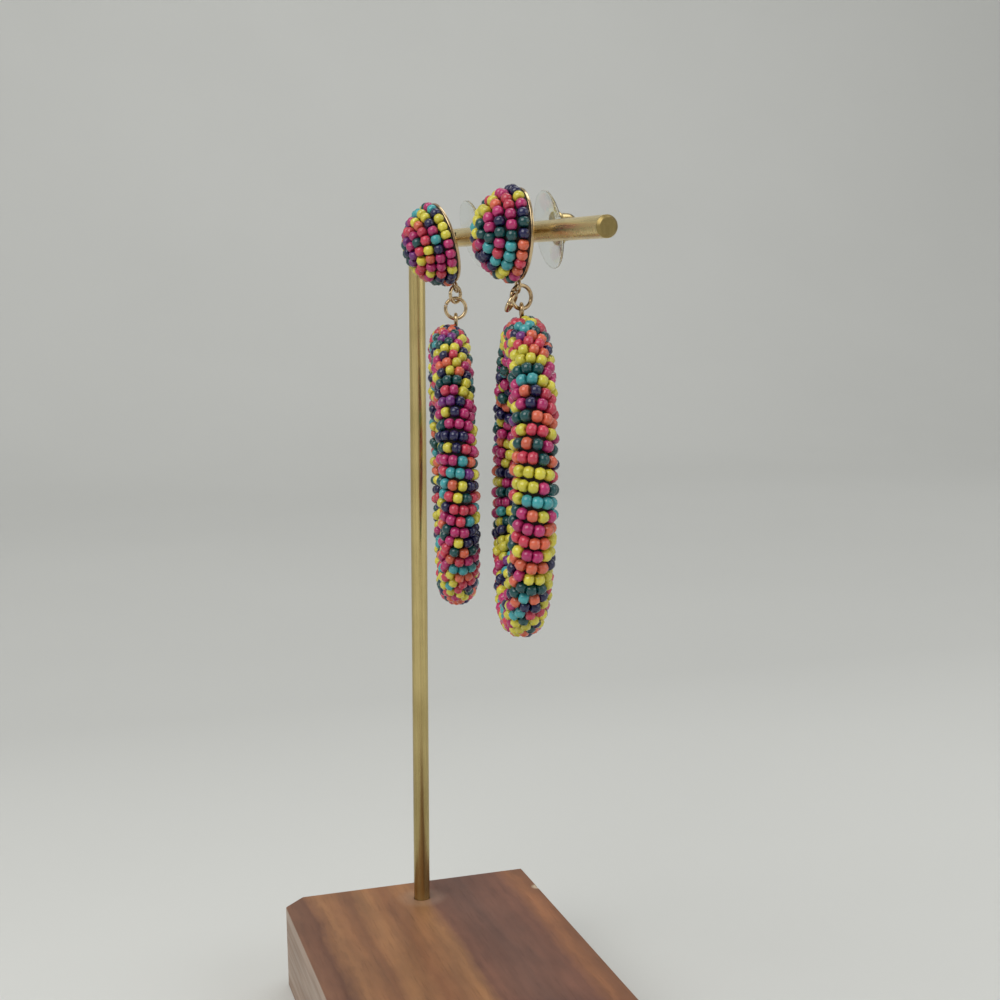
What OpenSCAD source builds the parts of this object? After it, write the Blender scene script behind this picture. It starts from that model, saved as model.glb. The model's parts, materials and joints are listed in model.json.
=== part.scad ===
// A pair of beaded hoop earrings hanging on a plain stand: a walnut block, a brass upright and a
// brass cross bar that the ear posts pass through. Origin: centre of the block's underside.
// The bar runs towards -Y, and the bead domes face -X.

/* [Block] */
// Width of the walnut block
block_w = 51.5; // [45:0.5:60]
// Length of the walnut block
block_l = 104; // [96:1:130]
// Thickness of the walnut block
block_h = 16.6; // [12:0.2:25]
// Sawn-off back left corner, along each edge
corner_cut = 4.1; // [1:0.1:8]
// Depth of the socket that the upright stands in
socket_depth = 11; // [5:0.5:12]

/* [Brass stand] */
// Diameter of the brass rod
rod_d = 3.2; // [3:0.1:3.4]
// Height of the cross bar's axis above the block
upright_h = 132.7; // [125:0.1:160]
// How far the upright's top stands to the right of its foot
lean_right = 1.9; // [0:0.1:3]
// How far the upright's top stands in front of its foot
lean_front = 0.7; // [0:0.1:3]
// Length of the cross bar from the upright's axis
bar_l = 93.6; // [90:0.1:94]
// Turn of the cross bar to the right, in degrees
bar_turn = 1.9; // [0:0.1:4]
// Droop of the cross bar, in degrees
bar_droop = 1.6; // [0:0.1:3]
// Diameter of the holes that the ear posts pass through
hole_d = 1.8; // [1.7:0.1:2]

/* [Studs] */
// Diameter of the brass plate behind the beads
plate_d = 14.1; // [13.8:0.1:14.4]
// Thickness of the brass plate
plate_t = 0.5; // [0.4:0.05:0.6]
// Diameter of the bead dome over its beads
dome_d = 15.4; // [15:0.1:15.6]
// Diameter of the ear post
post_d = 0.8; // [0.7:0.05:0.9]
// Length of the ear post behind the plate
post_l = 10.5; // [10:0.5:12]
// Diameter of a seed bead
bead_d = 1.86; // [1.8:0.02:1.9]
// Distance of the lug's middle from the post's axis
lug_reach = 7.8; // [7.75:0.05:7.85]
// Inner diameter of the wire loop that is the lug
lug_hole_d = 1.5; // [1.4:0.05:1.5]
// Wire diameter of the lug
lug_wire_d = 0.45; // [0.4:0.01:0.5]

/* [Clutches] */
// Diameter of the clear disc
disc_d = 12; // [11:0.1:12.4]
// Diameter of the barrel's wide end
barrel_d = 5.2; // [4.8:0.1:5.4]
// Length of the barrel
barrel_l = 4.6; // [4:0.1:5]

/* [Rings] */
// Wire diameter of the rings and the eye
wire_d = 0.62; // [0.55:0.01:0.65]
// Outer diameter of the large jump ring
jump_ring_d = 4.2; // [4.2:0.05:4.4]
// Outer diameter of the small jump ring
small_ring_d = 3.4; // [3.35:0.05:3.45]
// Outer diameter of the eye on the hoop
eye_d = 2.6; // [2.5:0.1:2.8]
// How far the eye stands above the hoop's beads
eye_rise = 1.9; // [1.8:0.05:2]

/* [Hoops] */
// Diameter of the hoop to the middle of its tube
hoop_d = 43.1; // [42:0.1:43.4]
// Thickness of the hoop over its beads
tube_d = 7; // [6.8:0.1:7.1]

/* [Hidden] */
$fn = 96;

// The near earring is number 0 and the far one number 1.
near = 0;
far = 1;
// Place of each ear post along the bar, from the upright's axis
stud_at = [65.7, 29.3];
// Distance from the bar's axis to the back of each plate, along the post
plate_off = [2.63, 3.5];
// Droop and turn of each post, in degrees, and how far its plate is bent up from square to it
post_droop = [8.7, 15];
post_turn = [0, 2];
plate_bend = [9.9, 0];
// Distance from the bar's axis to the front of each clear disc
disc_off = [1.95, 2.0];
// Turn of each ring's plane about the vertical, in degrees from the X axis
jump_turn = [15, -15];
small_turn = [63, 35];
// How far the near large ring's middle lies behind its lug, along the ring
ring_back = 0.6;
// Lean of the near earring's small ring in degrees, and its middle from the large ring's
small_lean = 34.5;
small_off = [-1.9, -0.89, -0.79];
// Middle of each hoop beside its jump ring, sideways, and its lean and turn in degrees
hoop_shift = [-0.26, -1.1];
hoop_lean = [-1.9, 0.7];
hoop_turn = [13.7, 13.2];

rod_r = rod_d / 2;
wire_r = wire_d / 2;
jump_r = (jump_ring_d - wire_d) / 2;
small_r = (small_ring_d - wire_d) / 2;
eye_r = (eye_d - wire_d) / 2;
hoop_r = hoop_d / 2;
tube_r = tube_d / 2;
// Gap between two linked wires, and the distance between their middles
link_gap = 0.12;
link = wire_d + link_gap;
// Gap between the beads and the plate
dome_gap = 0.1;
// Angle from the dome's crown to its outermost row of beads
last_row = 77.5;
// Running clearance around a pin or post
play = 0.05;
// Radius of the barrel's neck, which the clear disc sits on
neck_r = 1.3;
// Length of the shank below the eye, and the gap around both in the hoop
shank_l = 2.2;
seat = 0.15;

foot = [1.5, block_l / 2 - 8.7, block_h];
top = foot + [lean_right, -lean_front, upright_h];
bar_dir = [
    sin(bar_turn) * cos(bar_droop),
    -cos(bar_turn) * cos(bar_droop),
    -sin(bar_droop)
];

// Point on the cross bar's axis at a distance from the upright
function bar_point(s) = top + s * bar_dir;

// A stud's directions at a droop: towards the front, and down across that
function out_dir(i, droop) = [
    -cos(droop) * cos(post_turn[i]),
    -cos(droop) * sin(post_turn[i]),
    -sin(droop)
];
function down_dir(i, droop) = [
    sin(droop) * cos(post_turn[i]),
    sin(droop) * sin(post_turn[i]),
    -cos(droop)
];

// Droop of a plate, the middle of its back, and the middle of the lug that the first ring hangs in
function plate_droop(i) = post_droop[i] - plate_bend[i];
function plate_point(i) = bar_point(stud_at[i]) + plate_off[i] * out_dir(i, post_droop[i]);
function lug_point(i) =
    plate_point(i)
        + plate_t / 2 * out_dir(i, plate_droop(i))
        + lug_reach * down_dir(i, plate_droop(i));

// Middles of the rings: the near large ring hangs in the lug, the far one in its small ring
function far_small_centre() = lug_point(far) - [0, 0, small_r];
function jump_centre(i) =
    i == near
        ? lug_point(near)
            + ring_back * [cos(jump_turn[near]), sin(jump_turn[near]), 0]
            - [0, 0, sqrt(jump_r * jump_r - ring_back * ring_back)]
        : far_small_centre() + [0, 0, link - small_r - jump_r];
function near_small_centre() = jump_centre(near) + small_off;

// The jump ring's lowest wire, which the eye hangs on, and the middles of the eye and the hoop
function hang_point(i) = jump_centre(i) - [0, 0, jump_r];
function eye_centre(i) = hang_point(i) + [0, 0, link - eye_r];
function hoop_centre(i) =
    hang_point(i) + [hoop_shift[i], 0, link + wire_r - eye_rise - tube_r - hoop_r];

// Stands its children's Z axis along a direction at a point
module along(point, direction) {
    tilt = acos(direction[2] / norm(direction));
    translate(point)
        rotate([0, tilt, atan2(direction[1], direction[0])])
            children();
}

// A post's frame: Z towards the dome, X up, and the origin where the post crosses the bar
module post_frame(i) {
    translate(bar_point(stud_at[i]))
        rotate([0, -90 - post_droop[i], post_turn[i]])
            children();
}

// A plate's frame: Z out of the dome, X up, and the origin in the middle of the plate's back
module plate_frame(i) {
    translate(plate_point(i))
        rotate([0, -90 - plate_droop(i), post_turn[i]])
            children();
}

// A hoop's frame: Z across the hoop, X up, and the origin in its middle
module hoop_frame(i) {
    translate(hoop_centre(i))
        rotate([0, -90 - hoop_lean[i], -hoop_turn[i]])
            children();
}

module wire_ring(r, thickness = wire_r) {
    rotate_extrude($fn = 48)
        translate([r, 0])
            circle(thickness, $fn = 24);
}

// A ring of wire that stands upright, turned about the vertical
module upright_ring(r, centre, turn) {
    translate(centre)
        rotate([90, 0, turn])
            wire_ring(r);
}

module walnut_block() {
    w = block_w / 2;
    l = block_l / 2;
    color("saddlebrown")
        difference() {
            linear_extrude(block_h)
                polygon([
                    [-w, -l], [w, -l], [w, l],
                    [-w + corner_cut, l], [-w, l - corner_cut]
                ]);
            along(foot, foot - top)
                translate([0, 0, -1])
                    cylinder(h = socket_depth + 1, r = rod_r + play);
        }
}

module brass_stand() {
    edge = 0.4;
    floor_gap = 0.3;
    sunk = socket_depth - floor_gap;
    color("goldenrod")
        difference() {
            union() {
                along(foot, top - foot)
                    translate([0, 0, -sunk])
                        cylinder(h = norm(top - foot) + sunk, r = rod_r);
                translate(top)
                    sphere(rod_r);
                along(top, bar_dir) {
                    cylinder(h = bar_l - edge, r = rod_r);
                    translate([0, 0, bar_l - edge])
                        cylinder(h = edge, r1 = rod_r, r2 = rod_r - edge);
                }
            }
            for (s = stud_at)
                translate(bar_point(s))
                    rotate([0, 90, bar_turn])
                        cylinder(h = 2 * rod_d, d = hole_d, center = true);
        }
}

// The post and the lug, a small wire loop, are soldered to the plate, and the post may be bent there
module stud(i) {
    color("gold") {
        plate_frame(i) {
            cylinder(h = plate_t, d = plate_d);
            translate([-lug_reach, 0, plate_t / 2])
                wire_ring((lug_hole_d + lug_wire_d) / 2, lug_wire_d / 2);
        }
        post_frame(i)
            translate([0, 0, plate_off[i] - post_l])
                cylinder(h = post_l + plate_t / 2, d = post_d, $fn = 32);
    }
}

// The dome is a ball down to its outermost row of beads, and round below that as the beads are
module bead_dome(i) {
    rest = plate_t + dome_gap;
    r = dome_d / 2;
    row = (r - bead_d / 2) * [sin(last_row), cos(last_row)];
    color("teal")
        plate_frame(i)
            rotate_extrude()
                intersection() {
                    union() {
                        intersection() {
                            circle(r);
                            translate([-r, row[1]])
                                square(2 * r);
                        }
                        translate(row)
                            circle(d = bead_d, $fn = 48);
                        square([row[0], row[1] + 0.1]);
                    }
                    translate([0, rest])
                        square(2 * r);
                }
}

// Turns an outline of [radius, distance behind the clear disc's rim] about a stud's post
module behind_bar(i, outline) {
    post_frame(i)
        translate([0, 0, -disc_off[i]])
            mirror([0, 0, 1])
                rotate_extrude()
                    polygon(outline);
}

// The clear disc is a shallow saucer, hollow towards the bar
module clutch_disc(i) {
    // From bore to rim: [radius, front face, back face]
    sections = [
        [neck_r + 0.1, 0.35, 1.3],
        [disc_d / 4, 0.25, 1],
        [disc_d / 2, 0, 0.3]
    ];
    color("whitesmoke", 0.4)
        behind_bar(i, [
            for (s = sections) [s[0], s[1]],
            for (k = [2:-1:0]) [sections[k][0], sections[k][2]]
        ]);
}

// The barrel has a neck in the disc, a flange behind it and a rounded tail
module clutch_barrel(i) {
    bore_r = post_d / 2 + play;
    front = 0.35;
    flange_front = 1.4;
    flange_back = 2.1;
    r = barrel_d / 2;
    // From flange to end: [radius, share of the tail's length]
    tail = [[r - 0.4, 0.2], [r - 0.7, 0.68], [r - 1.2, 0.96], [r - 1.8, 1]];
    color("goldenrod")
        behind_bar(i, [
            [bore_r, front], [neck_r, front], [neck_r, flange_front],
            [r, flange_front], [r, flange_back],
            for (t = tail) [t[0], flange_back + t[1] * (barrel_l - flange_back)],
            [bore_r, barrel_l]
        ]);
}

module jump_ring(i) {
    color("gold")
        upright_ring(jump_r, jump_centre(i), jump_turn[i]);
}

module near_small_ring() {
    color("gold")
        translate(near_small_centre())
            rotate([0, small_lean, 0])
                rotate([90, 0, small_turn[near]])
                    wire_ring(small_r);
}

module far_small_ring() {
    color("gold")
        upright_ring(small_r, far_small_centre(), small_turn[far]);
}

// The eye stands on a short shank that goes down among the beads
module hoop_eye(i) {
    color("gold") {
        translate(eye_centre(i))
            rotate([0, 90, -hoop_turn[i]])
                wire_ring(eye_r);
        translate(eye_centre(i) - [0, 0, eye_r + shank_l])
            cylinder(h = shank_l, r = wire_r, $fn = 24);
    }
}

// The hoop's beads leave room for the eye, and its core for the eye's shank
module bead_hoop(i) {
    color("teal")
        difference() {
            hoop_frame(i)
                rotate_extrude($fn = 120)
                    translate([hoop_r, 0])
                        circle(tube_r, $fn = 48);
            translate(eye_centre(i) - [0, 0, eye_d / 2 + seat])
                cylinder(h = tube_d, r = eye_d / 2 + seat, $fn = 32);
            translate(eye_centre(i) - [0, 0, eye_r + shank_l + seat])
                cylinder(h = shank_l + seat, r = wire_r + seat, $fn = 24);
        }
}

walnut_block();
brass_stand();
stud(near);  // near_stud
bead_dome(near);  // near_bead_dome
clutch_disc(near);  // near_clutch_disc
clutch_barrel(near);  // near_clutch_barrel
jump_ring(near);  // near_jump_ring
near_small_ring();
hoop_eye(near);  // near_hoop_eye
bead_hoop(near);  // near_bead_hoop
stud(far);  // far_stud
bead_dome(far);  // far_bead_dome
clutch_disc(far);  // far_clutch_disc
clutch_barrel(far);  // far_clutch_barrel
far_small_ring();
jump_ring(far);  // far_jump_ring
hoop_eye(far);  // far_hoop_eye
bead_hoop(far);  // far_bead_hoop
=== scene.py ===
import json
import math
import random

import bmesh
import bpy
from mathutils import Matrix, Vector


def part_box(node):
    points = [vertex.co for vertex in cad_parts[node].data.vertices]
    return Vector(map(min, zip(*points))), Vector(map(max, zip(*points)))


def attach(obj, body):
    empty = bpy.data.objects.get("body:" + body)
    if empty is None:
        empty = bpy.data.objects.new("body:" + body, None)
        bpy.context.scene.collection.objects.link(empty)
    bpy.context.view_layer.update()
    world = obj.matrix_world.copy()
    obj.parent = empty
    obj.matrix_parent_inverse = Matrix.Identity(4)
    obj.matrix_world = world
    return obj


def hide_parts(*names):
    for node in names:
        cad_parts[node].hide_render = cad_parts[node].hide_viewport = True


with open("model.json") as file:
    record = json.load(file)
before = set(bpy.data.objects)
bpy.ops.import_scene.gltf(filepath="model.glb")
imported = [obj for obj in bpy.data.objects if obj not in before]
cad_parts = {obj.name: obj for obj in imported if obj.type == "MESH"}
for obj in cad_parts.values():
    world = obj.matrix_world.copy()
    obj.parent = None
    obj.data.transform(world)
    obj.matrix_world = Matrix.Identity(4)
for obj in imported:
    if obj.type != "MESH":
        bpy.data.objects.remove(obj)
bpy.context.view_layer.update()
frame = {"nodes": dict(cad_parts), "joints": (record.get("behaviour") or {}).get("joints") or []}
scene = bpy.context.scene


# The studio is a pale paper sweep, with a large soft light on the left, a weaker one on the right
# and one above. The camera stands where the photograph was taken from, a little above the hoops
# and to the left of the block.
SWEEP_HALF_WIDTH = 2.5
SWEEP_FRONT = -2.0
SWEEP_BACK = 0.9
COVE_RADIUS = 0.7
SWEEP_TOP = 2.4
ROOM_COLOUR = (0.94, 0.94, 0.91)
ROOM_LIGHT_IN_FRONT = 0.34
ROOM_LIGHT_BEHIND = 0.52
CAMERA_PLACE = (-0.06909, -0.24356, 0.13538)
CAMERA_TURN = math.radians(-17.19)
CAMERA_TILT = math.radians(90 - 7.143)
CAMERA_ROLL = math.radians(-0.95)
CAMERA_LENS = 54


def srgb(red, green, blue):
    """A colour from its 0 to 255 screen values, as the shaders want it."""
    shares = [value / 255 for value in (red, green, blue)]
    return tuple(s / 12.92 if s < 0.04045 else ((s + 0.055) / 1.055) ** 2.4 for s in shares)


def feed(node, inputs):
    """Links or sets a node's inputs."""
    for key, value in inputs.items():
        if isinstance(value, bpy.types.NodeSocket):
            node.id_data.links.new(value, node.inputs[key])
        elif isinstance(value, tuple) and len(value) == 3 and node.inputs[key].type == "RGBA":
            node.inputs[key].default_value = (*value, 1)
        else:
            node.inputs[key].default_value = value


def add_node(material, kind, inputs, **options):
    """Adds one shader node with its options and inputs."""
    node = material.node_tree.nodes.new("ShaderNode" + kind)
    for option, value in options.items():
        setattr(node, option, value)
    feed(node, inputs)
    return node


def new_material(name):
    """A material and the shader that gives its look."""
    material = bpy.data.materials.new(name)
    material.use_nodes = True
    return material, material.node_tree.nodes["Principled BSDF"]


def object_point(material, scale=(1, 1, 1), shift=(0, 0, 0), turn=(0, 0, 0)):
    """The point on the piece in metres, stretched, moved and turned for a pattern."""
    place = add_node(material, "TexCoord", {}).outputs["Object"]
    mapping = {"Vector": place, "Scale": scale, "Location": shift, "Rotation": turn}
    return add_node(material, "Mapping", mapping).outputs["Vector"]


def noise(material, point, scale, detail=3, roughness=0.5):
    """Soft random patches from 0 to 1."""
    inputs = {"Vector": point, "Scale": scale, "Detail": detail, "Roughness": roughness}
    return add_node(material, "TexNoise", inputs).outputs["Fac"]


def ramp(material, factor, stops, interpolation="LINEAR"):
    """Colours along a factor: stops is a list of (place, colour)."""
    node = add_node(material, "ValToRGB", {"Fac": factor})
    node.color_ramp.interpolation = interpolation
    elements = node.color_ramp.elements
    elements.remove(elements[1])
    elements[0].position = stops[0][0]
    elements[0].color = (*stops[0][1], 1)
    for place, colour in stops[1:]:
        elements.new(place).color = (*colour, 1)
    return node.outputs["Color"]


def spread(material, factor, low, high):
    """Brings a 0 to 1 factor to the range from low to high."""
    inputs = {"Value": factor, "To Min": low, "To Max": high}
    return add_node(material, "MapRange", inputs).outputs["Result"]


def blend_colours(material, factor, first, second, blend_type="MIX"):
    """Mixes or multiplies two colours."""
    node = add_node(material, "Mix", {}, data_type="RGBA", blend_type=blend_type)
    feed(node, {0: factor, 6: first, 7: second})
    return node.outputs[2]


def add_object(name, mesh):
    """Puts a mesh in the scene."""
    piece = bpy.data.objects.new(name, mesh)
    scene.collection.objects.link(piece)
    return piece


def finished_mesh(bm, name, smooth=True):
    """Closes a bmesh with its faces pointing outwards, and gives it as a mesh."""
    bmesh.ops.recalc_face_normals(bm, faces=bm.faces)
    for face in bm.faces:
        face.smooth = smooth
    mesh = bpy.data.meshes.new(name)
    bm.to_mesh(mesh)
    bm.free()
    return mesh


def paper_sweep():
    """The paper lies flat, bends up in a cove and hangs as a wall."""
    bm = bmesh.new()
    front = [bm.verts.new((x, SWEEP_FRONT, 0)) for x in (-SWEEP_HALF_WIDTH, SWEEP_HALF_WIDTH)]
    edge = bm.edges.new(front)
    laid = bmesh.ops.extrude_edge_only(bm, edges=[edge])["geom"]
    verts = [item for item in laid if isinstance(item, bmesh.types.BMVert)]
    bmesh.ops.translate(bm, verts=verts, vec=(0, SWEEP_BACK - SWEEP_FRONT, 0))
    edges = [item for item in laid if isinstance(item, bmesh.types.BMEdge)]
    bent = bmesh.ops.spin(
        bm, geom=verts + edges, cent=(0, SWEEP_BACK, COVE_RADIUS), axis=(1, 0, 0),
        angle=math.pi / 2, steps=24,
    )["geom_last"]
    edges = [item for item in bent if isinstance(item, bmesh.types.BMEdge)]
    wall = bmesh.ops.extrude_edge_only(bm, edges=edges)["geom"]
    verts = [item for item in wall if isinstance(item, bmesh.types.BMVert)]
    bmesh.ops.translate(bm, verts=verts, vec=(0, 0, SWEEP_TOP - COVE_RADIUS))
    return finished_mesh(bm, "paper_sweep")


def paper_material():
    material, shader = new_material("paper")
    point = object_point(material)
    tone = noise(material, point, 3.0)
    colour = ramp(material, tone, [(0.3, srgb(216, 217, 214)), (0.7, srgb(220, 221, 218))])
    # Painted shade: the paper is painted darker from just behind the block back to the cove, and
    # lighter again up the wall.
    back = add_node(material, "SeparateXYZ", {"Vector": point}).outputs["Y"]
    to_wall = add_node(material, "MapRange", {"Value": back, "From Max": SWEEP_BACK + COVE_RADIUS})
    painted_backdrop_shade = ramp(material, to_wall.outputs["Result"], [
        (0.05, (0.96, 0.96, 0.96)), (0.115, (0.88, 0.88, 0.88)), (0.165, (0.80, 0.80, 0.80)),
        (0.49, (0.82, 0.82, 0.82)), (0.98, (0.94, 0.94, 0.94)),
    ])
    colour = blend_colours(material, 1.0, colour, painted_backdrop_shade, "MULTIPLY")
    feed(shader, {"Base Color": colour, "Roughness": 0.8})
    return material


def soft_light(name, place, aim, size, power, colour):
    """A square soft light that looks at a point."""
    light = bpy.data.lights.new(name, "AREA")
    light.size = size
    light.energy = power
    light.color = colour
    lamp = bpy.data.objects.new(name, light)
    scene.collection.objects.link(lamp)
    lamp.location = place
    lamp.rotation_euler = (Vector(aim) - Vector(place)).to_track_quat("-Z", "Y").to_euler()


sweep = add_object("paper_sweep", paper_sweep())
sweep.data.materials.append(paper_material())

world = bpy.data.worlds.new("studio")
world.use_nodes = True
scene.world = world
view_way = add_node(world, "TexCoord", {}).outputs["Generated"]
to_back = add_node(world, "SeparateXYZ", {"Vector": view_way}).outputs["Y"]
room = add_node(world, "MapRange", {
    "Value": to_back, "From Min": -0.7, "From Max": 0.5,
    "To Min": ROOM_LIGHT_IN_FRONT, "To Max": ROOM_LIGHT_BEHIND,
})
room_light = {"Color": ROOM_COLOUR, "Strength": room.outputs["Result"]}
feed(world.node_tree.nodes["Background"], room_light)
soft_light("window", (-0.75, -0.55, 1.05), (0, 0, 0.09), 1.1, 11.5, (1, 0.99, 0.97))
soft_light("fill", (0.9, -0.7, 0.6), (0, 0, 0.09), 0.9, 3, (0.95, 0.98, 1))
soft_light("ceiling", (0.5, 0.5, 1.5), (0.35, 1.1, 0.2), 0.9, 5.5, (1, 1, 1))

camera = bpy.data.objects.new("camera", bpy.data.cameras.new("camera"))
camera.data.lens = CAMERA_LENS
camera.data.sensor_width = 36
camera.data.clip_start = 0.01
camera.matrix_world = (
    Matrix.Translation(CAMERA_PLACE)
    @ Matrix.Rotation(CAMERA_TURN, 4, "Z")
    @ Matrix.Rotation(CAMERA_TILT, 4, "X")
    @ Matrix.Rotation(CAMERA_ROLL, 4, "Z")
)
scene.collection.objects.link(camera)
scene.camera = camera
scene.view_settings.view_transform = "Standard"


# The walnut block is sawn from one board, with its grain along the length. One back corner is cut
# off, the edges are only just softened, and the upright stands in a drilled hole near the back. The
# top is oiled, the sides are painted paler as a painted sheen of light glancing off them, and a pale
# patch round the upright's foot is a painted reflection of the rod.
BLOCK_CORNER = 0.0041
BLOCK_EDGE = 0.0003
BLOCK_TOP = 0.0166
FOOT = Vector((0.0015, 0.0433, BLOCK_TOP))
UPRIGHT = Vector((0.0019, -0.0007, 0.1327))
ROD_HOLE_RADIUS = 0.0017
ROD_HOLE_DEPTH = 0.011
NICK = Vector((0.02575, 0.0410, BLOCK_TOP))
NICK_RADIUS = 0.0005
NICK_TURN = 0.6
NICK_SHAPE = (1, 2.2, 0.8, 1)
FRESH_WOOD_OUTER = 0.0015
FRESH_WOOD_INNER = 0.0008
ROD_REFLECTION_OUTER = 0.0054
ROD_REFLECTION_INNER = 0.0034
SIDE_SHEEN_UPPER = 0.01655
SIDE_SHEEN_LOWER = 0.01635
GRAIN_SLOPE = 0.45
GRAIN_WANDER = 0.006
STREAKS_FROM = -0.0185
STREAKS_TO = 0.0335
YEAR_LINES = 2600.0


def cut_away(mesh, cutter_mesh):
    """The mesh with another one cut out of it."""
    piece = add_object("to_cut", mesh)
    cutter = add_object("cutter", cutter_mesh)
    cut = piece.modifiers.new("cut", "BOOLEAN")
    cut.object = cutter
    cut.solver = "EXACT"
    bpy.context.view_layer.update()
    depsgraph = bpy.context.evaluated_depsgraph_get()
    result = bpy.data.meshes.new_from_object(piece.evaluated_get(depsgraph))
    bpy.data.objects.remove(piece)
    bpy.data.objects.remove(cutter)
    return result


def walnut_mesh():
    """The sawn block, with its corner off, its edges eased, the rod's hole and a nick in one edge."""
    low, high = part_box("walnut_block")
    bm = bmesh.new()
    bmesh.ops.create_cube(bm, size=1)
    bmesh.ops.scale(bm, verts=bm.verts, vec=high - low)
    bmesh.ops.translate(bm, verts=bm.verts, vec=(low + high) / 2)
    corner = Vector((low.x + BLOCK_CORNER, high.y, 0))
    everything = bm.verts[:] + bm.edges[:] + bm.faces[:]
    sawn = bmesh.ops.bisect_plane(
        bm, geom=everything, plane_co=corner, plane_no=(-1, 1, 0), clear_outer=True,
    )["geom_cut"]
    bmesh.ops.holes_fill(bm, edges=[item for item in sawn if isinstance(item, bmesh.types.BMEdge)])
    bmesh.ops.bevel(
        bm, geom=bm.edges[:], offset=BLOCK_EDGE, offset_type="OFFSET", affect="EDGES",
        segments=3, profile=0.5, material=-1,
    )
    block = finished_mesh(bm, "walnut_block", smooth=False)

    cuts = bmesh.new()
    down = Matrix.Translation(FOOT) @ UPRIGHT.to_track_quat("Z", "Y").to_matrix().to_4x4()
    bmesh.ops.create_cone(
        cuts, cap_ends=True, segments=48, radius1=ROD_HOLE_RADIUS, radius2=ROD_HOLE_RADIUS,
        depth=2 * ROD_HOLE_DEPTH, matrix=down,
    )
    nick = Matrix.Translation(NICK) @ Matrix.Rotation(NICK_TURN, 4, "Y") @ Matrix.Diagonal(NICK_SHAPE)
    bmesh.ops.create_icosphere(cuts, subdivisions=1, radius=NICK_RADIUS, matrix=nick)
    return cut_away(block, finished_mesh(cuts, "cuts", smooth=False))


def distance(material, point, place):
    """How far the point on the piece is from a place."""
    node = add_node(material, "VectorMath", {0: point, 1: place}, operation="DISTANCE")
    return node.outputs["Value"]


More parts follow.
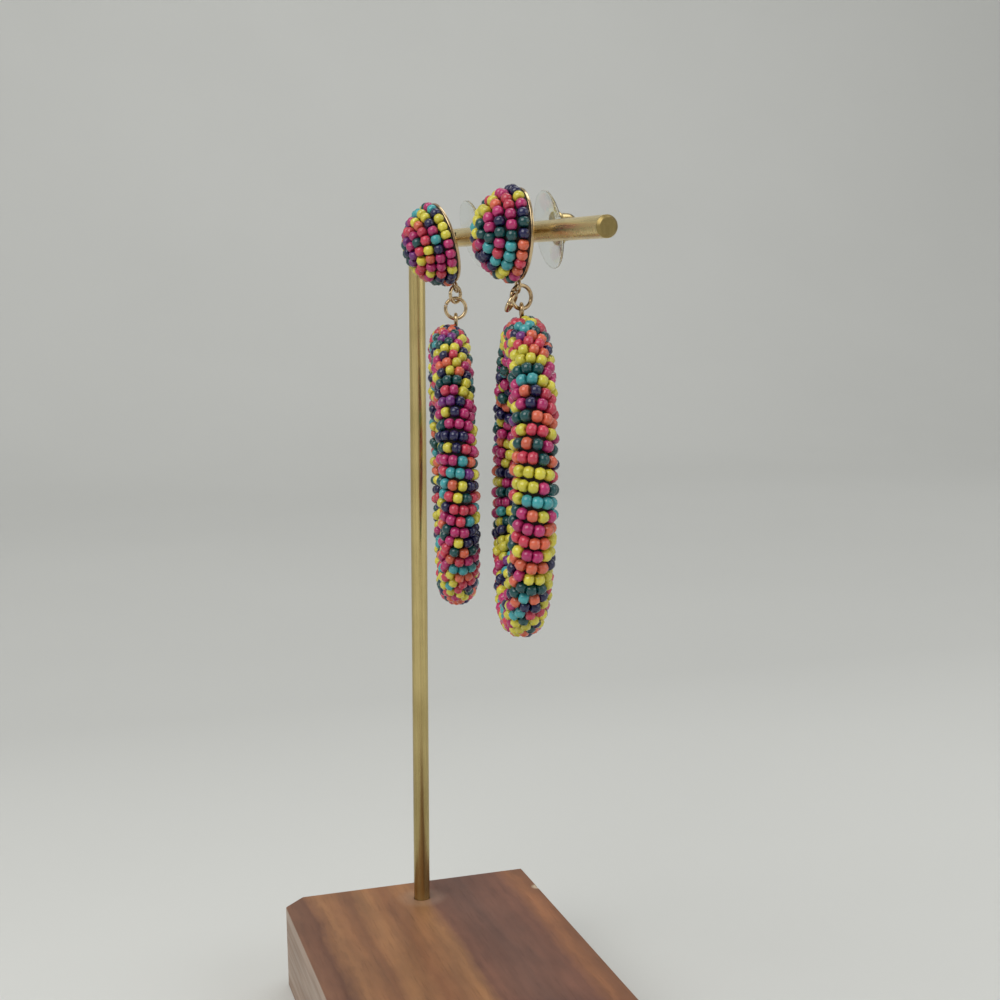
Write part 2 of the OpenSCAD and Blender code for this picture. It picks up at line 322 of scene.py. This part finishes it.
def walnut_material():
    """Streaks and year lines, blotches and pores, a painted reflection of the rod round its foot, a
    fresh nick and a painted sheen on the sides.
    """
    material, shader = new_material("oiled_walnut")
    point = object_point(material)
    drift = noise(material, object_point(material, (1, 0.36, 1)), 42, detail=6, roughness=0.7)
    parts = add_node(material, "SeparateXYZ", {"Vector": point}).outputs
    sloped = {0: parts["Z"], 1: GRAIN_SLOPE, 2: parts["X"]}
    across = add_node(material, "Math", sloped, operation="MULTIPLY_ADD").outputs[0]
    wander = spread(material, drift, -GRAIN_WANDER, GRAIN_WANDER)
    across = add_node(material, "Math", {0: across, 1: wander}, operation="ADD").outputs[0]
    board = add_node(material, "MapRange", {
        "Value": across, "From Min": STREAKS_FROM, "From Max": STREAKS_TO,
    })
    streaks = ramp(material, board.outputs["Result"], [
        (0.00, srgb(124, 88, 70)),
        (0.07, srgb(112, 76, 60)),
        (0.13, srgb(156, 112, 78)),
        (0.24, srgb(134, 92, 66)),
        (0.30, srgb(158, 114, 78)),
        (0.40, srgb(136, 92, 64)),
        (0.52, srgb(156, 112, 76)),
        (0.57, srgb(118, 80, 66)),
        (0.72, srgb(112, 80, 70)),
        (0.86, srgb(124, 84, 70)),
        (0.92, srgb(148, 100, 70)),
        (0.97, srgb(130, 88, 64)),
    ])
    years = add_node(material, "Math", {0: across, 1: YEAR_LINES}, operation="MULTIPLY").outputs[0]
    wave = add_node(material, "Math", {0: years}, operation="SINE").outputs[0]
    wave = add_node(material, "MapRange", {"Value": wave, "From Min": -1.0}).outputs["Result"]
    year_tone = ramp(material, wave, [(0, (0.86, 0.84, 0.84)), (0.7, (1, 1, 1))])
    figure = noise(material, object_point(material, (1, 0.12, 1)), 260, detail=4, roughness=0.6)
    figure_tone = ramp(material, figure, [(0.3, (0.82, 0.80, 0.78)), (0.7, (1.16, 1.13, 1.08))])
    blotches = noise(material, object_point(material, (1, 0.45, 1)), 150, detail=3)
    blotch_tone = ramp(material, blotches, [(0.35, (0.86, 0.85, 0.84)), (0.65, (1.08, 1.07, 1.03))])
    pores = noise(material, object_point(material, (1, 0.06, 1)), 2600, detail=3)
    pore_tone = ramp(material, pores, [(0.26, (0.76, 0.72, 0.70)), (0.44, (1, 1, 1))])
    colour = blend_colours(material, 0.5, streaks, year_tone, "MULTIPLY")
    colour = blend_colours(material, 0.9, colour, figure_tone, "MULTIPLY")
    colour = blend_colours(material, 1.0, colour, blotch_tone, "MULTIPLY")
    colour = blend_colours(material, 0.7, colour, pore_tone, "MULTIPLY")
    to_foot = distance(material, point, FOOT)
    # Painted reflection: a pale patch round the foot of the upright stands in for the rod's
    # reflection in the wood.
    painted_rod_reflection = add_node(material, "MapRange", {
        "Value": to_foot, "From Min": ROD_REFLECTION_OUTER, "From Max": ROD_REFLECTION_INNER, "To Max": 0.22,
    }).outputs["Result"]
    colour = blend_colours(material, painted_rod_reflection, colour, srgb(176, 152, 132))
    to_nick = distance(material, point, NICK)
    fresh = add_node(material, "MapRange", {
        "Value": to_nick, "From Min": FRESH_WOOD_OUTER, "From Max": FRESH_WOOD_INNER,
    }).outputs["Result"]
    colour = blend_colours(material, fresh, colour, srgb(196, 176, 150))
    # Painted sheen: the sides below the top edge are painted paler, standing in for light glancing
    # off them.
    below_top = add_node(material, "MapRange", {
        "Value": parts["Z"], "From Min": SIDE_SHEEN_UPPER, "From Max": SIDE_SHEEN_LOWER, "To Max": 0.42,
    }).outputs["Result"]
    side_sheen_streaks = noise(material, object_point(material, (1, 0.05, 1)), 520, detail=4, roughness=0.6)
    painted_side_sheen = ramp(material, side_sheen_streaks, [(0.34, srgb(166, 145, 124)), (0.66, srgb(224, 212, 196))])
    colour = blend_colours(material, below_top, colour, painted_side_sheen)
    bump = add_node(material, "Bump", {"Strength": 0.5, "Distance": 0.00006, "Height": pore_tone})
    feed(shader, {
        "Base Color": colour,
        "Roughness": spread(material, figure, 0.42, 0.56),
        "Specular IOR Level": 0.3,
        "Normal": bump.outputs["Normal"],
    })
    return material


block = add_object("walnut_base", walnut_mesh())
block.data.materials.append(walnut_material())
block.modifiers.new("even_shading", "WEIGHTED_NORMAL")
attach(block, "stand")
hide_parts("walnut_block")


# The stand is two lengths of drawn brass rod, soldered where they meet. The long die marks run
# along each rod, and the brass has gone a little dull and brown. Its colour is also painted darker
# near the block and brighter up at the bar as painted light and shade, and the bar's sawn end is
# painted darker as painted shade.
BAR_UNDERSIDE = 0.1468
DIE_MARK_STRETCH = 0.012
PAINTED_SHADE_BELOW = 0.03
PAINTED_LIGHT_ABOVE = 0.15
SAWN_END_INNER = 0.00065
SAWN_END_OUTER = 0.0004


def brass_rod_material():
    """Die marks along each rod, patches of tarnish, painted light and shade up the stand, and painted
    shade on the sawn end.
    """
    material, shader = new_material("drawn_brass")
    point = object_point(material)
    parts = add_node(material, "SeparateXYZ", {"Vector": point}).outputs
    height = parts["Z"]
    bar_test = {0: height, 1: BAR_UNDERSIDE}
    on_bar = add_node(material, "Math", bar_test, operation="GREATER_THAN").outputs[0]
    along_upright = object_point(material, (1, 1, DIE_MARK_STRETCH))
    along_bar = object_point(material, (1, DIE_MARK_STRETCH, 1))
    along = add_node(material, "Mix", {}, data_type="VECTOR")
    feed(along, {0: on_bar, 4: along_upright, 5: along_bar})
    streaks = noise(material, along.outputs[1], 3200, detail=4, roughness=0.6)
    tarnish = noise(material, point, 90, detail=4)
    colour = ramp(material, tarnish, [(0.35, srgb(203, 182, 124)), (0.65, srgb(221, 200, 140))])
    tone = ramp(material, streaks, [(0.3, (0.86, 0.85, 0.82)), (0.7, (1.05, 1.05, 1.05))])
    colour = blend_colours(material, 1.0, colour, tone, "MULTIPLY")
    # Painted light and shade: the colour is scaled from 0.70 near the block up to 1.24 at the bar,
    # standing in for how the light falls along the stand.
    painted_light_by_height = add_node(material, "MapRange", {
        "Value": height, "From Min": PAINTED_SHADE_BELOW, "From Max": PAINTED_LIGHT_ABOVE,
        "To Min": 0.70, "To Max": 1.24,
    }).outputs["Result"]
    colour = blend_colours(material, 1.0, colour, painted_light_by_height, "MULTIPLY")
    bar_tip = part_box("brass_stand")[0].y
    sawn_end = add_node(material, "MapRange", {
        "Value": parts["Y"],
        "From Min": bar_tip + SAWN_END_INNER, "From Max": bar_tip + SAWN_END_OUTER,
    }).outputs["Result"]
    # Painted shade: the bar's sawn end is painted darker, standing in for the dark it reflects.
    painted_end_shade = ramp(material, sawn_end, [(0, (1, 1, 1)), (1, (0.40, 0.38, 0.34))])
    colour = blend_colours(material, 1.0, colour, painted_end_shade, "MULTIPLY")
    softness = spread(material, streaks, 0.22, 0.34)
    rougher_end = {0: sawn_end, 1: 0.15, 2: softness}
    softness = add_node(material, "Math", rougher_end, operation="MULTIPLY_ADD")
    bump = add_node(material, "Bump", {"Strength": 0.4, "Distance": 0.00001, "Height": streaks})
    feed(shader, {
        "Base Color": colour,
        "Metallic": 1.0,
        "Roughness": softness.outputs[0],
        "Normal": bump.outputs["Normal"],
    })
    return material


def finish_node(name, material):
    """Gives a CAD node its material."""
    mesh = frame["nodes"][name].data
    mesh.materials.clear()
    mesh.materials.append(material)


finish_node("brass_stand", brass_rod_material())


# Each stud is a thin gold-plated plate with an ear post soldered to the middle of its back and a
# small wire loop, the lug, soldered to its lower edge. The near plate has been bent a little out of
# square with its post.
PLATE_THICKNESS = 0.0005
PLATE_RADIUS = 0.00705
PLATE_EDGE = 0.00012
LUG_REACH = 0.0078
LUG_RADIUS = 0.000975
LUG_WIRE_RADIUS = 0.000225
POST_RADIUS = 0.0004
POST_LENGTH = 0.0105
PLATE_BEND = {"near": 9.9, "far": 0}
SOLDER_RADIUS = 0.0010
SOLDER_HEIGHT = 0.0006
SOLDER_DEPTH = 0.0003
POST_PROFILE = [
    (0, -POST_LENGTH),
    (POST_RADIUS * 0.5, POST_RADIUS * 0.1 - POST_LENGTH),
    (POST_RADIUS * 0.87, POST_RADIUS * 0.4 - POST_LENGTH),
    (POST_RADIUS, POST_RADIUS - POST_LENGTH),
    (POST_RADIUS, -SOLDER_HEIGHT),
    (POST_RADIUS * 1.2, -SOLDER_HEIGHT * 0.4),
    (SOLDER_RADIUS, 0),
    (SOLDER_RADIUS, SOLDER_DEPTH),
    (0, SOLDER_DEPTH),
]
SIDES = ("near", "far")
joints = {joint["name"]: joint for joint in frame["joints"]}


def post_turn(side):
    """How an ear post points: Z towards its dome, X up."""
    out = -Vector(joints[side + "_clutch_pull"]["axis"]).normalized()
    up = (Vector((0, 0, 1)) - out * out.z).normalized()
    return Matrix((up, out.cross(up), out)).transposed()


def plate_place(side):
    """Where a plate is: Z out of its dome, X up across it, origin in the middle of its back."""
    turned = post_turn(side) @ Matrix.Rotation(math.radians(PLATE_BEND[side]), 3, "Y")
    lug = Vector(joints[side + "_ring_swing"]["pos_m"])
    origin = lug + turned @ Vector((LUG_REACH, 0, -PLATE_THICKNESS / 2))
    return Matrix.Translation(origin) @ turned.to_4x4()


def post_place(side):
    """Where an ear post is: Z towards its dome, X up, origin where it meets the plate."""
    return Matrix.Translation(plate_place(side).translation) @ post_turn(side).to_4x4()


def turned_shape(bm, profile, segments):
    """Turns a profile of (radius, height) about Z, and closes it where it meets the axis."""
    verts = [bm.verts.new((radius, 0, height)) for radius, height in profile]
    edges = [bm.edges.new(pair) for pair in zip(verts, verts[1:])]
    bmesh.ops.spin(
        bm, geom=verts + edges, cent=(0, 0, 0), axis=(0, 0, 1), angle=2 * math.pi,
        steps=segments, use_merge=True,
    )
    bmesh.ops.remove_doubles(bm, verts=bm.verts, dist=1e-7)


def wire_loop(bm, radius, wire_radius, place, cut=0.0, sides=16, steps=48):
    """Bends a round wire into a loop about Z. A cut, in radians, leaves its two ends apart."""
    before = set(bm.verts)
    start = Matrix.Rotation(cut / 2, 4, "Z") @ Matrix.Translation((radius, 0, 0))
    start = start @ Matrix.Rotation(math.pi / 2, 4, "X")
    bmesh.ops.create_circle(bm, segments=sides, radius=wire_radius, cap_ends=cut > 0, matrix=start)
    verts = [v for v in bm.verts if v not in before]
    geom = verts + list({e for v in verts for e in v.link_edges})
    geom += list({f for v in verts for f in v.link_faces})
    bmesh.ops.spin(
        bm, geom=geom, cent=(0, 0, 0), axis=(0, 0, 1), angle=2 * math.pi - cut,
        steps=steps, use_merge=cut == 0, use_duplicate=False,
    )
    bmesh.ops.transform(bm, matrix=place, verts=[v for v in bm.verts if v not in before])


def stud_mesh(side):
    """The plate with its rim eased and the lug on its edge, then the post with its solder."""
    bm = bmesh.new()
    bmesh.ops.create_circle(bm, cap_ends=True, segments=96, radius=PLATE_RADIUS)
    lifted = bmesh.ops.extrude_face_region(bm, geom=bm.faces[:])["geom"]
    verts = [item for item in lifted if isinstance(item, bmesh.types.BMVert)]
    bmesh.ops.translate(bm, verts=verts, vec=(0, 0, PLATE_THICKNESS))
    rims = [e for e in bm.edges if abs(e.verts[0].co.z - e.verts[1].co.z) < PLATE_EDGE]
    bmesh.ops.bevel(
        bm, geom=rims, offset=PLATE_EDGE, offset_type="OFFSET", affect="EDGES",
        segments=3, profile=0.5, material=-1,
    )
    wire_loop(
        bm, LUG_RADIUS, LUG_WIRE_RADIUS,
        Matrix.Translation((-LUG_REACH, 0, PLATE_THICKNESS / 2)),
    )
    bent = post_place(side).inverted() @ plate_place(side)
    bmesh.ops.transform(bm, matrix=bent, verts=bm.verts[:])
    turned_shape(bm, POST_PROFILE, 24)
    mesh = finished_mesh(bm, side + "_stud")
    mesh.transform(post_place(side))
    return mesh


def gold_plate_material():
    material, shader = new_material("pale_gold_plate")
    point = object_point(material)
    wear = noise(material, point, 420, detail=5, roughness=0.65)
    aslant = object_point(material, (1, 1, 0.2), turn=(0.5, 0.3, 0))
    scuffs = noise(material, aslant, 5200, detail=3)
    colour = ramp(material, wear, [(0.32, srgb(168, 138, 102)), (0.6, srgb(210, 186, 146))])
    bump = add_node(material, "Bump", {"Strength": 0.25, "Distance": 0.00001, "Height": scuffs})
    feed(shader, {
        "Base Color": colour,
        "Metallic": 1.0,
        "Roughness": spread(material, wear, 0.14, 0.30),
        "Normal": bump.outputs["Normal"],
    })
    return material


gold_plate = gold_plate_material()
for side in SIDES:
    stud = add_object(side + "_stud_and_lug", stud_mesh(side))
    stud.data.materials.append(gold_plate)
    stud.modifiers.new("even_shading", "WEIGHTED_NORMAL")
    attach(stud, "stand")
    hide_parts(side + "_stud")


# Seed beads are short cuts of opaque glass tube, tumbled until their ends are round. Each is one
# turned shape with a dimple where its hole is, and a string of them is joined into one mesh.
BEAD_RADIUS = 0.00094
BEAD_LENGTH = 0.00155
BEAD_PROFILE = [
    (0, -0.26), (0.38, -0.50), (0.80, -0.38), (1, 0), (0.80, 0.38), (0.38, 0.50), (0, 0.26),
]
BEAD_SEGMENTS = 12
BEAD_WIDTHS = (0.95, 1.02)
BEAD_LENGTHS = (0.93, 1.04)
BEAD_WOBBLE = 0.07
GLASS_DEPTHS = (0.82, 1.08)
SAME_AGAIN = 0.24
GLASS_COLOURS = [
    ("lemon", srgb(216, 206, 70), 20),
    ("magenta", srgb(184, 46, 108), 17),
    ("pink_red", srgb(202, 62, 84), 13),
    ("coral", srgb(218, 104, 76), 11),
    ("turquoise", srgb(66, 162, 168), 12),
    ("deep_teal", srgb(14, 74, 76), 14),
    ("navy", srgb(28, 28, 74), 15),
    ("purple", srgb(118, 48, 126), 2),
]


def bead_template():
    """One bead, with a dimple at each end of its hole."""
    bm = bmesh.new()
    profile = [(radius * BEAD_RADIUS, height * BEAD_LENGTH) for radius, height in BEAD_PROFILE]
    turned_shape(bm, profile, BEAD_SEGMENTS)
    return finished_mesh(bm, "one_bead")


one_bead = bead_template()


def joined_beads(name, places, seed):
    """Joins one bead for each place. Colours are drawn, and now and then one comes twice running."""
    draw = random.Random(seed)
    colours = [colour for _, colour, _ in GLASS_COLOURS]
    shares = [share for _, _, share in GLASS_COLOURS]
    bm = bmesh.new()
    for place in places:
        bead = one_bead.copy()
        bead.transform(place)
        bm.from_mesh(bead)
        bpy.data.meshes.remove(bead)
    mesh = bpy.data.meshes.new(name)
    bm.to_mesh(mesh)
    bm.free()
    tints = []
    colour = colours[0]
    for _ in places:
        depth = draw.uniform(*GLASS_DEPTHS)
        if draw.random() > SAME_AGAIN:
            colour = draw.choices(colours, shares)[0]
        tints += [*(value * depth for value in colour), 1] * len(one_bead.vertices)
    mesh.attributes.new("glass_colour", "FLOAT_COLOR", "POINT").data.foreach_set("color", tints)
    return mesh


def bead_place(centre, along, draw):
    """Sets a bead at a point with its hole along a direction, a little uneven as real ones are."""
    turned = Vector(along).to_track_quat("Z", "X").to_matrix().to_4x4()
    tip = Matrix.Rotation(draw.gauss(0, BEAD_WOBBLE), 4, "X")
    tip = tip @ Matrix.Rotation(draw.gauss(0, BEAD_WOBBLE), 4, "Y")
    roll = Matrix.Rotation(draw.uniform(0, math.pi), 4, "Z")
    width = draw.uniform(*BEAD_WIDTHS)
    shape = Matrix.Diagonal((width, width, draw.uniform(*BEAD_LENGTHS), 1))
    return Matrix.Translation(centre) @ turned @ tip @ roll @ shape


def bead_glass_material():
    material, shader = new_material("opaque_bead_glass")
    tint = add_node(material, "Attribute", {}, attribute_name="glass_colour").outputs["Color"]
    point = object_point(material)
    cloud = noise(material, point, 1400, detail=3)
    tone = ramp(material, cloud, [(0.3, (0.90, 0.90, 0.90)), (0.7, (1.06, 1.06, 1.06))])
    colour = blend_colours(material, 1.0, tint, tone, "MULTIPLY")
    pits = noise(material, point, 5200, detail=2)
    bump = add_node(material, "Bump", {"Strength": 0.2, "Distance": 0.00002, "Height": pits})
    feed(shader, {
        "Base Color": colour,
        "Roughness": spread(material, cloud, 0.12, 0.24),
        "Coat Weight": 0.35,
        "Coat Roughness": 0.06,
        "Normal": bump.outputs["Normal"],
    })
    return material


def thread_and_gap_shade_material():
    material, shader = new_material("winding_thread_and_gap_shade")
    point = object_point(material)
    strands = noise(material, point, 2600, detail=3)
    # Painted shade: the real thread core is painted near-black so that the gaps between beads show as
    # shade.
    colour = ramp(material, strands, [(0.3, srgb(26, 20, 22)), (0.7, srgb(58, 46, 42))])
    bump = add_node(material, "Bump", {"Strength": 0.6, "Distance": 0.00005, "Height": strands})
    feed(shader, {"Base Color": colour, "Roughness": 0.85, "Normal": bump.outputs["Normal"]})
    return material


bead_glass = bead_glass_material()
thread_and_gap_shade = thread_and_gap_shade_material()


# The dome is a padded button, covered by rings of beads strung end to end round its crown. It is
# painted near-black as painted shade for the gaps between beads, and a thin dark ring under it shows
# as a line of painted shade between the last ring of beads and the gold plate.
DOME_BEAD_RADIUS = 0.00677
DOME_ROW_STEP = math.radians(15.5)
DOME_ROWS = 5
DOME_BEAD_PITCH = 0.0016
DOME_ROW_UNEVEN = 0.06
DOME_CORE_RADIUS = 0.0062
DOME_CORE_STEPS = 12
SHADE_RING_RADIUS = 0.00695
SHADE_RING_BOTTOM = 0.00056
SHADE_RING_TOP = 0.0009
DOME_SEEDS = {"near": 143, "far": 336}


def dome_beads(side):
    """One bead on the crown, and five rings of beads round it."""
    draw = random.Random(DOME_SEEDS[side])
    plate = plate_place(side)
    places = [plate @ bead_place((0, 0, DOME_BEAD_RADIUS), (0, 1, 0), draw)]
    for row in range(1, DOME_ROWS + 1):
        angle = row * DOME_ROW_STEP
        radius = DOME_BEAD_RADIUS * math.sin(angle)
        height = DOME_BEAD_RADIUS * math.cos(angle)
        count = round(2 * math.pi * radius / DOME_BEAD_PITCH)
        start = draw.uniform(0, 2 * math.pi)
        for k in range(count):
            place_in_row = k + draw.uniform(-DOME_ROW_UNEVEN, DOME_ROW_UNEVEN)
            turn = start + 2 * math.pi * place_in_row / count
            centre = (radius * math.cos(turn), radius * math.sin(turn), height)
            places.append(plate @ bead_place(centre, (-math.sin(turn), math.cos(turn), 0), draw))
    return joined_beads(side + "_dome_beads", places, DOME_SEEDS[side])


def dome_core(side):
    """The padded button under the beads, and the thin dark ring of painted shade it sits on."""
    bm = bmesh.new()
    arc = [math.pi / 2 * k / DOME_CORE_STEPS for k in range(DOME_CORE_STEPS)]
    crown = [(DOME_CORE_RADIUS * math.sin(a), DOME_CORE_RADIUS * math.cos(a)) for a in arc]
    base = [(DOME_CORE_RADIUS, SHADE_RING_TOP), (SHADE_RING_RADIUS, SHADE_RING_TOP)]
    base += [(SHADE_RING_RADIUS, SHADE_RING_BOTTOM), (0, SHADE_RING_BOTTOM)]
    turned_shape(bm, [p for p in crown if p[1] > SHADE_RING_TOP] + base, 64)
    mesh = finished_mesh(bm, side + "_dome_core")
    mesh.transform(plate_place(side))
    return mesh


for side in SIDES:
    beads = add_object(side + "_dome_beads", dome_beads(side))
    beads.data.materials.append(bead_glass)
    core = add_object(side + "_dome_core", dome_core(side))
    core.data.materials.append(thread_and_gap_shade)
    for piece in (beads, core):
        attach(piece, "stand")
    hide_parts(side + "_bead_dome")


# The clutch is a clear soft-plastic saucer on the neck of a turned brass barrel. The saucer's hub
# faces the bar, and the barrel's flange and rounded tail stand behind it on the ear post.
DISC_GAP = {"near": 0.00195, "far": 0.0020}
PLATE_GAP = {"near": 0.00263, "far": 0.0035}
DISC_PROFILE = [
    (0.00140, 0.00036), (0.00300, 0.00025), (0.00560, 0.00003), (0.00592, 0.00002),
    (0.00600, 0.00012), (0.00599, 0.00026), (0.00580, 0.00034), (0.00450, 0.00066),
    (0.00300, 0.00100), (0.00180, 0.00127), (0.00140, 0.00130),
]
BARREL_PROFILE = [
    (0.00045, 0.00036), (0.00125, 0.00036), (0.00130, 0.00042), (0.00130, 0.00140),
    (0.00246, 0.00140), (0.00258, 0.00146), (0.00260, 0.00156), (0.00260, 0.00196),
    (0.00257, 0.00206), (0.00246, 0.00211), (0.00222, 0.00216), (0.00218, 0.00240),
    (0.00214, 0.00290), (0.00202, 0.00350), (0.00184, 0.00400), (0.00150, 0.00438),
    (0.00110, 0.00456), (0.00070, 0.00460), (0.00045, 0.00456),
]


def behind_bar(side, name, profile, segments):
    """Turns a profile of (radius, distance behind the rim of the saucer) about the ear post."""
    bm = bmesh.new()
    turned_shape(bm, profile + profile[:1], segments)
    mesh = finished_mesh(bm, name)
    rim = Matrix.Translation((0, 0, -PLATE_GAP[side] - DISC_GAP[side]))
    mesh.transform(post_place(side) @ rim @ Matrix.Rotation(math.pi, 4, "X"))
    return mesh


def clear_plastic_material():
    material, shader = new_material("clear_soft_plastic")
    point = object_point(material)
    cloud = noise(material, point, 300, detail=3)
    colour = ramp(material, cloud, [(0.3, (0.92, 0.95, 0.93)), (0.7, (0.98, 0.99, 0.98))])
    feed(shader, {
        "Base Color": colour,
        "Roughness": spread(material, cloud, 0.03, 0.09),
        "IOR": 1.06,
        "Transmission Weight": 1.0,
        "Coat Weight": 0.5,
        "Coat Roughness": 0.05,
    })
    return material


def barrel_brass_material():
    material, shader = new_material("turned_brass")
    point = object_point(material)
    round_the_barrel = object_point(material, (1, 0.1, 0.1))
    lathe = noise(material, round_the_barrel, 6000, detail=3)
    stain = noise(material, point, 500, detail=4)
    colour = ramp(material, stain, [(0.3, srgb(168, 146, 98)), (0.7, srgb(202, 182, 130))])
    bump = add_node(material, "Bump", {"Strength": 0.3, "Distance": 0.00001, "Height": lathe})
    feed(shader, {
        "Base Color": colour,
        "Metallic": 1.0,
        "Roughness": spread(material, stain, 0.20, 0.34),
        "Normal": bump.outputs["Normal"],
    })
    return material


clear_plastic = clear_plastic_material()
barrel_brass = barrel_brass_material()
for side in SIDES:
    saucer_mesh = behind_bar(side, side + "_clear_saucer", DISC_PROFILE, 72)
    saucer = add_object(side + "_clear_saucer", saucer_mesh)
    saucer.data.materials.append(clear_plastic)
    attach(saucer, side + "_clutch")
    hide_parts(side + "_clutch_disc")
    barrel_mesh = behind_bar(side, side + "_barrel", BARREL_PROFILE, 48)
    barrel = add_object(side + "_barrel", barrel_mesh)
    barrel.data.materials.append(barrel_brass)
    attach(barrel, side + "_clutch")
    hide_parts(side + "_clutch_barrel")


# The rings are bent from pale gold wire and closed by hand, so each has a fine cut where its ends
# meet. The near hoop hangs on one ring with a spare one beside it, the far hoop on two in a chain.
# Each hoop has a small wire eye in its top, of the same gold.
WIRE_RADIUS = 0.00031
RING_CUT = 0.06
RINGS = [
    {"node": "near_jump_ring", "radius": 0.00179, "turn": 15, "lean": 0, "cut_at": 150},
    {"node": "near_small_ring", "radius": 0.00139, "turn": 63, "lean": 34.5, "cut_at": 200},
    {"node": "far_small_ring", "radius": 0.00139, "turn": 35, "lean": 0, "cut_at": 20},
    {"node": "far_jump_ring", "radius": 0.00179, "turn": -15, "lean": 0, "cut_at": 160},
]


def ring_mesh(ring):
    """One wire ring, stood up, turned, leaned and set in the middle of its node's box."""
    low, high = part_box(ring["node"])
    place = (
        Matrix.Translation((low + high) / 2)
        @ Matrix.Rotation(math.radians(ring["lean"]), 4, "Y")
        @ Matrix.Rotation(math.radians(ring["turn"]), 4, "Z")
        @ Matrix.Rotation(math.pi / 2, 4, "X")
        @ Matrix.Rotation(math.radians(ring["cut_at"]), 4, "Z")
    )
    bm = bmesh.new()
    wire_loop(bm, ring["radius"], WIRE_RADIUS, place, cut=RING_CUT)
    return finished_mesh(bm, ring["node"])


for ring in RINGS:
    side = ring["node"].split("_")[0]
    loop = add_object(ring["node"] + "_wire", ring_mesh(ring))
    loop.data.materials.append(gold_plate)
    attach(loop, side + "_rings")
    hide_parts(ring["node"])
for side in SIDES:
    finish_node(side + "_hoop_eye", gold_plate)


# Each hoop is a round core wound with one long string of beads, some seventy-four turns. The turns
# lie side by side on the outside, and crowd in and out of line where they are short of room inside.
HOOP_RADIUS = 0.02155
TUBE_RADIUS = 0.0035
STRING_RADIUS = 0.00257
HOOP_CORE_RADIUS = 0.0020
HOOP_TURNS = 74
HOOP_BEAD_PITCH = 0.00154
CROWDING = 0.0004
STRING_SPACINGS = (0.92, 1.08)
HOOP_LEAN = {"near": -1.9, "far": 0.7}
EYE_LOOP_RADIUS = 0.00099
EYE_CLEARANCE = 0.00080
HOOP_SEEDS = {"near": 73, "far": 94}


def hoop_place(side):
    """Where a hoop is: Z across it, X up, origin in its middle."""
    low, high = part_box(side + "_bead_hoop")
    middle = (low + high) / 2
    middle.z = low.z + TUBE_RADIUS + HOOP_RADIUS
    level = Vector(joints[side + "_hoop_swing"]["axis"]).normalized()
    tilt = Matrix.Rotation(math.radians(HOOP_LEAN[side]), 4, Vector((0, 0, 1)).cross(level))
    across = tilt @ level
    up = (Vector((0, 0, 1)) - across * across.z).normalized()
    turned = Matrix((up, across.cross(up), across)).transposed()
    return Matrix.Translation(middle) @ turned.to_4x4()


def eye_distance(side, point):
    """How far a point is from the wire of the eye that stands in the top of the hoop."""
    low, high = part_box(side + "_hoop_eye")
    across = Vector(joints[side + "_hoop_swing"]["axis"]).normalized()
    centre = (low + high) / 2
    centre.z = high.z - EYE_LOOP_RADIUS - WIRE_RADIUS
    offset = point - centre
    aside = offset.dot(across)
    outward = (offset - across * aside).length - EYE_LOOP_RADIUS
    return math.hypot(aside, outward)


def hoop_beads(side):
    """Winds the string of beads round the hoop, and leaves out the beads where the eye stands."""
    draw = random.Random(HOOP_SEEDS[side])
    hoop = hoop_place(side)
    steps = round(HOOP_TURNS * 2 * math.pi * STRING_RADIUS / HOOP_BEAD_PITCH)
    lengths = [draw.uniform(*STRING_SPACINGS) for _ in range(steps)]
    share = 1 / sum(lengths)
    places = []
    travelled = 0

    def string_point(travel):
        around_hoop = 2 * math.pi * travel
        winding = HOOP_TURNS * travel
        around_tube = 2 * math.pi * winding
        short_of_room = (1 - math.cos(around_tube)) / 2
        side_step = CROWDING * short_of_room * math.cos(math.pi * (winding + 0.5))
        radius = STRING_RADIUS + side_step
        reach = HOOP_RADIUS + radius * math.cos(around_tube)
        return Vector((
            reach * math.cos(around_hoop), reach * math.sin(around_hoop),
            radius * math.sin(around_tube),
        ))

    for length in lengths:
        middle = travelled + share * length / 2
        centre = string_point(middle)
        along = string_point(middle + share / 4) - string_point(middle - share / 4)
        travelled += share * length
        if eye_distance(side, hoop @ centre) > EYE_CLEARANCE:
            places.append(hoop @ bead_place(centre, along, draw))
    return joined_beads(side + "_hoop_beads", places, HOOP_SEEDS[side])


def hoop_core(side):
    """The round core under the string."""
    bm = bmesh.new()
    wire_loop(bm, HOOP_RADIUS, HOOP_CORE_RADIUS, hoop_place(side), sides=24, steps=120)
    return finished_mesh(bm, side + "_hoop_core")


for side in SIDES:
    beads = add_object(side + "_hoop_beads", hoop_beads(side))
    beads.data.materials.append(bead_glass)
    core = add_object(side + "_hoop_core", hoop_core(side))
    core.data.materials.append(thread_and_gap_shade)
    for piece in (beads, core):
        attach(piece, side + "_hoop")
    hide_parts(side + "_bead_hoop")

# The bead that all the others were copied from is cleared away.
bpy.data.meshes.remove(one_bead)
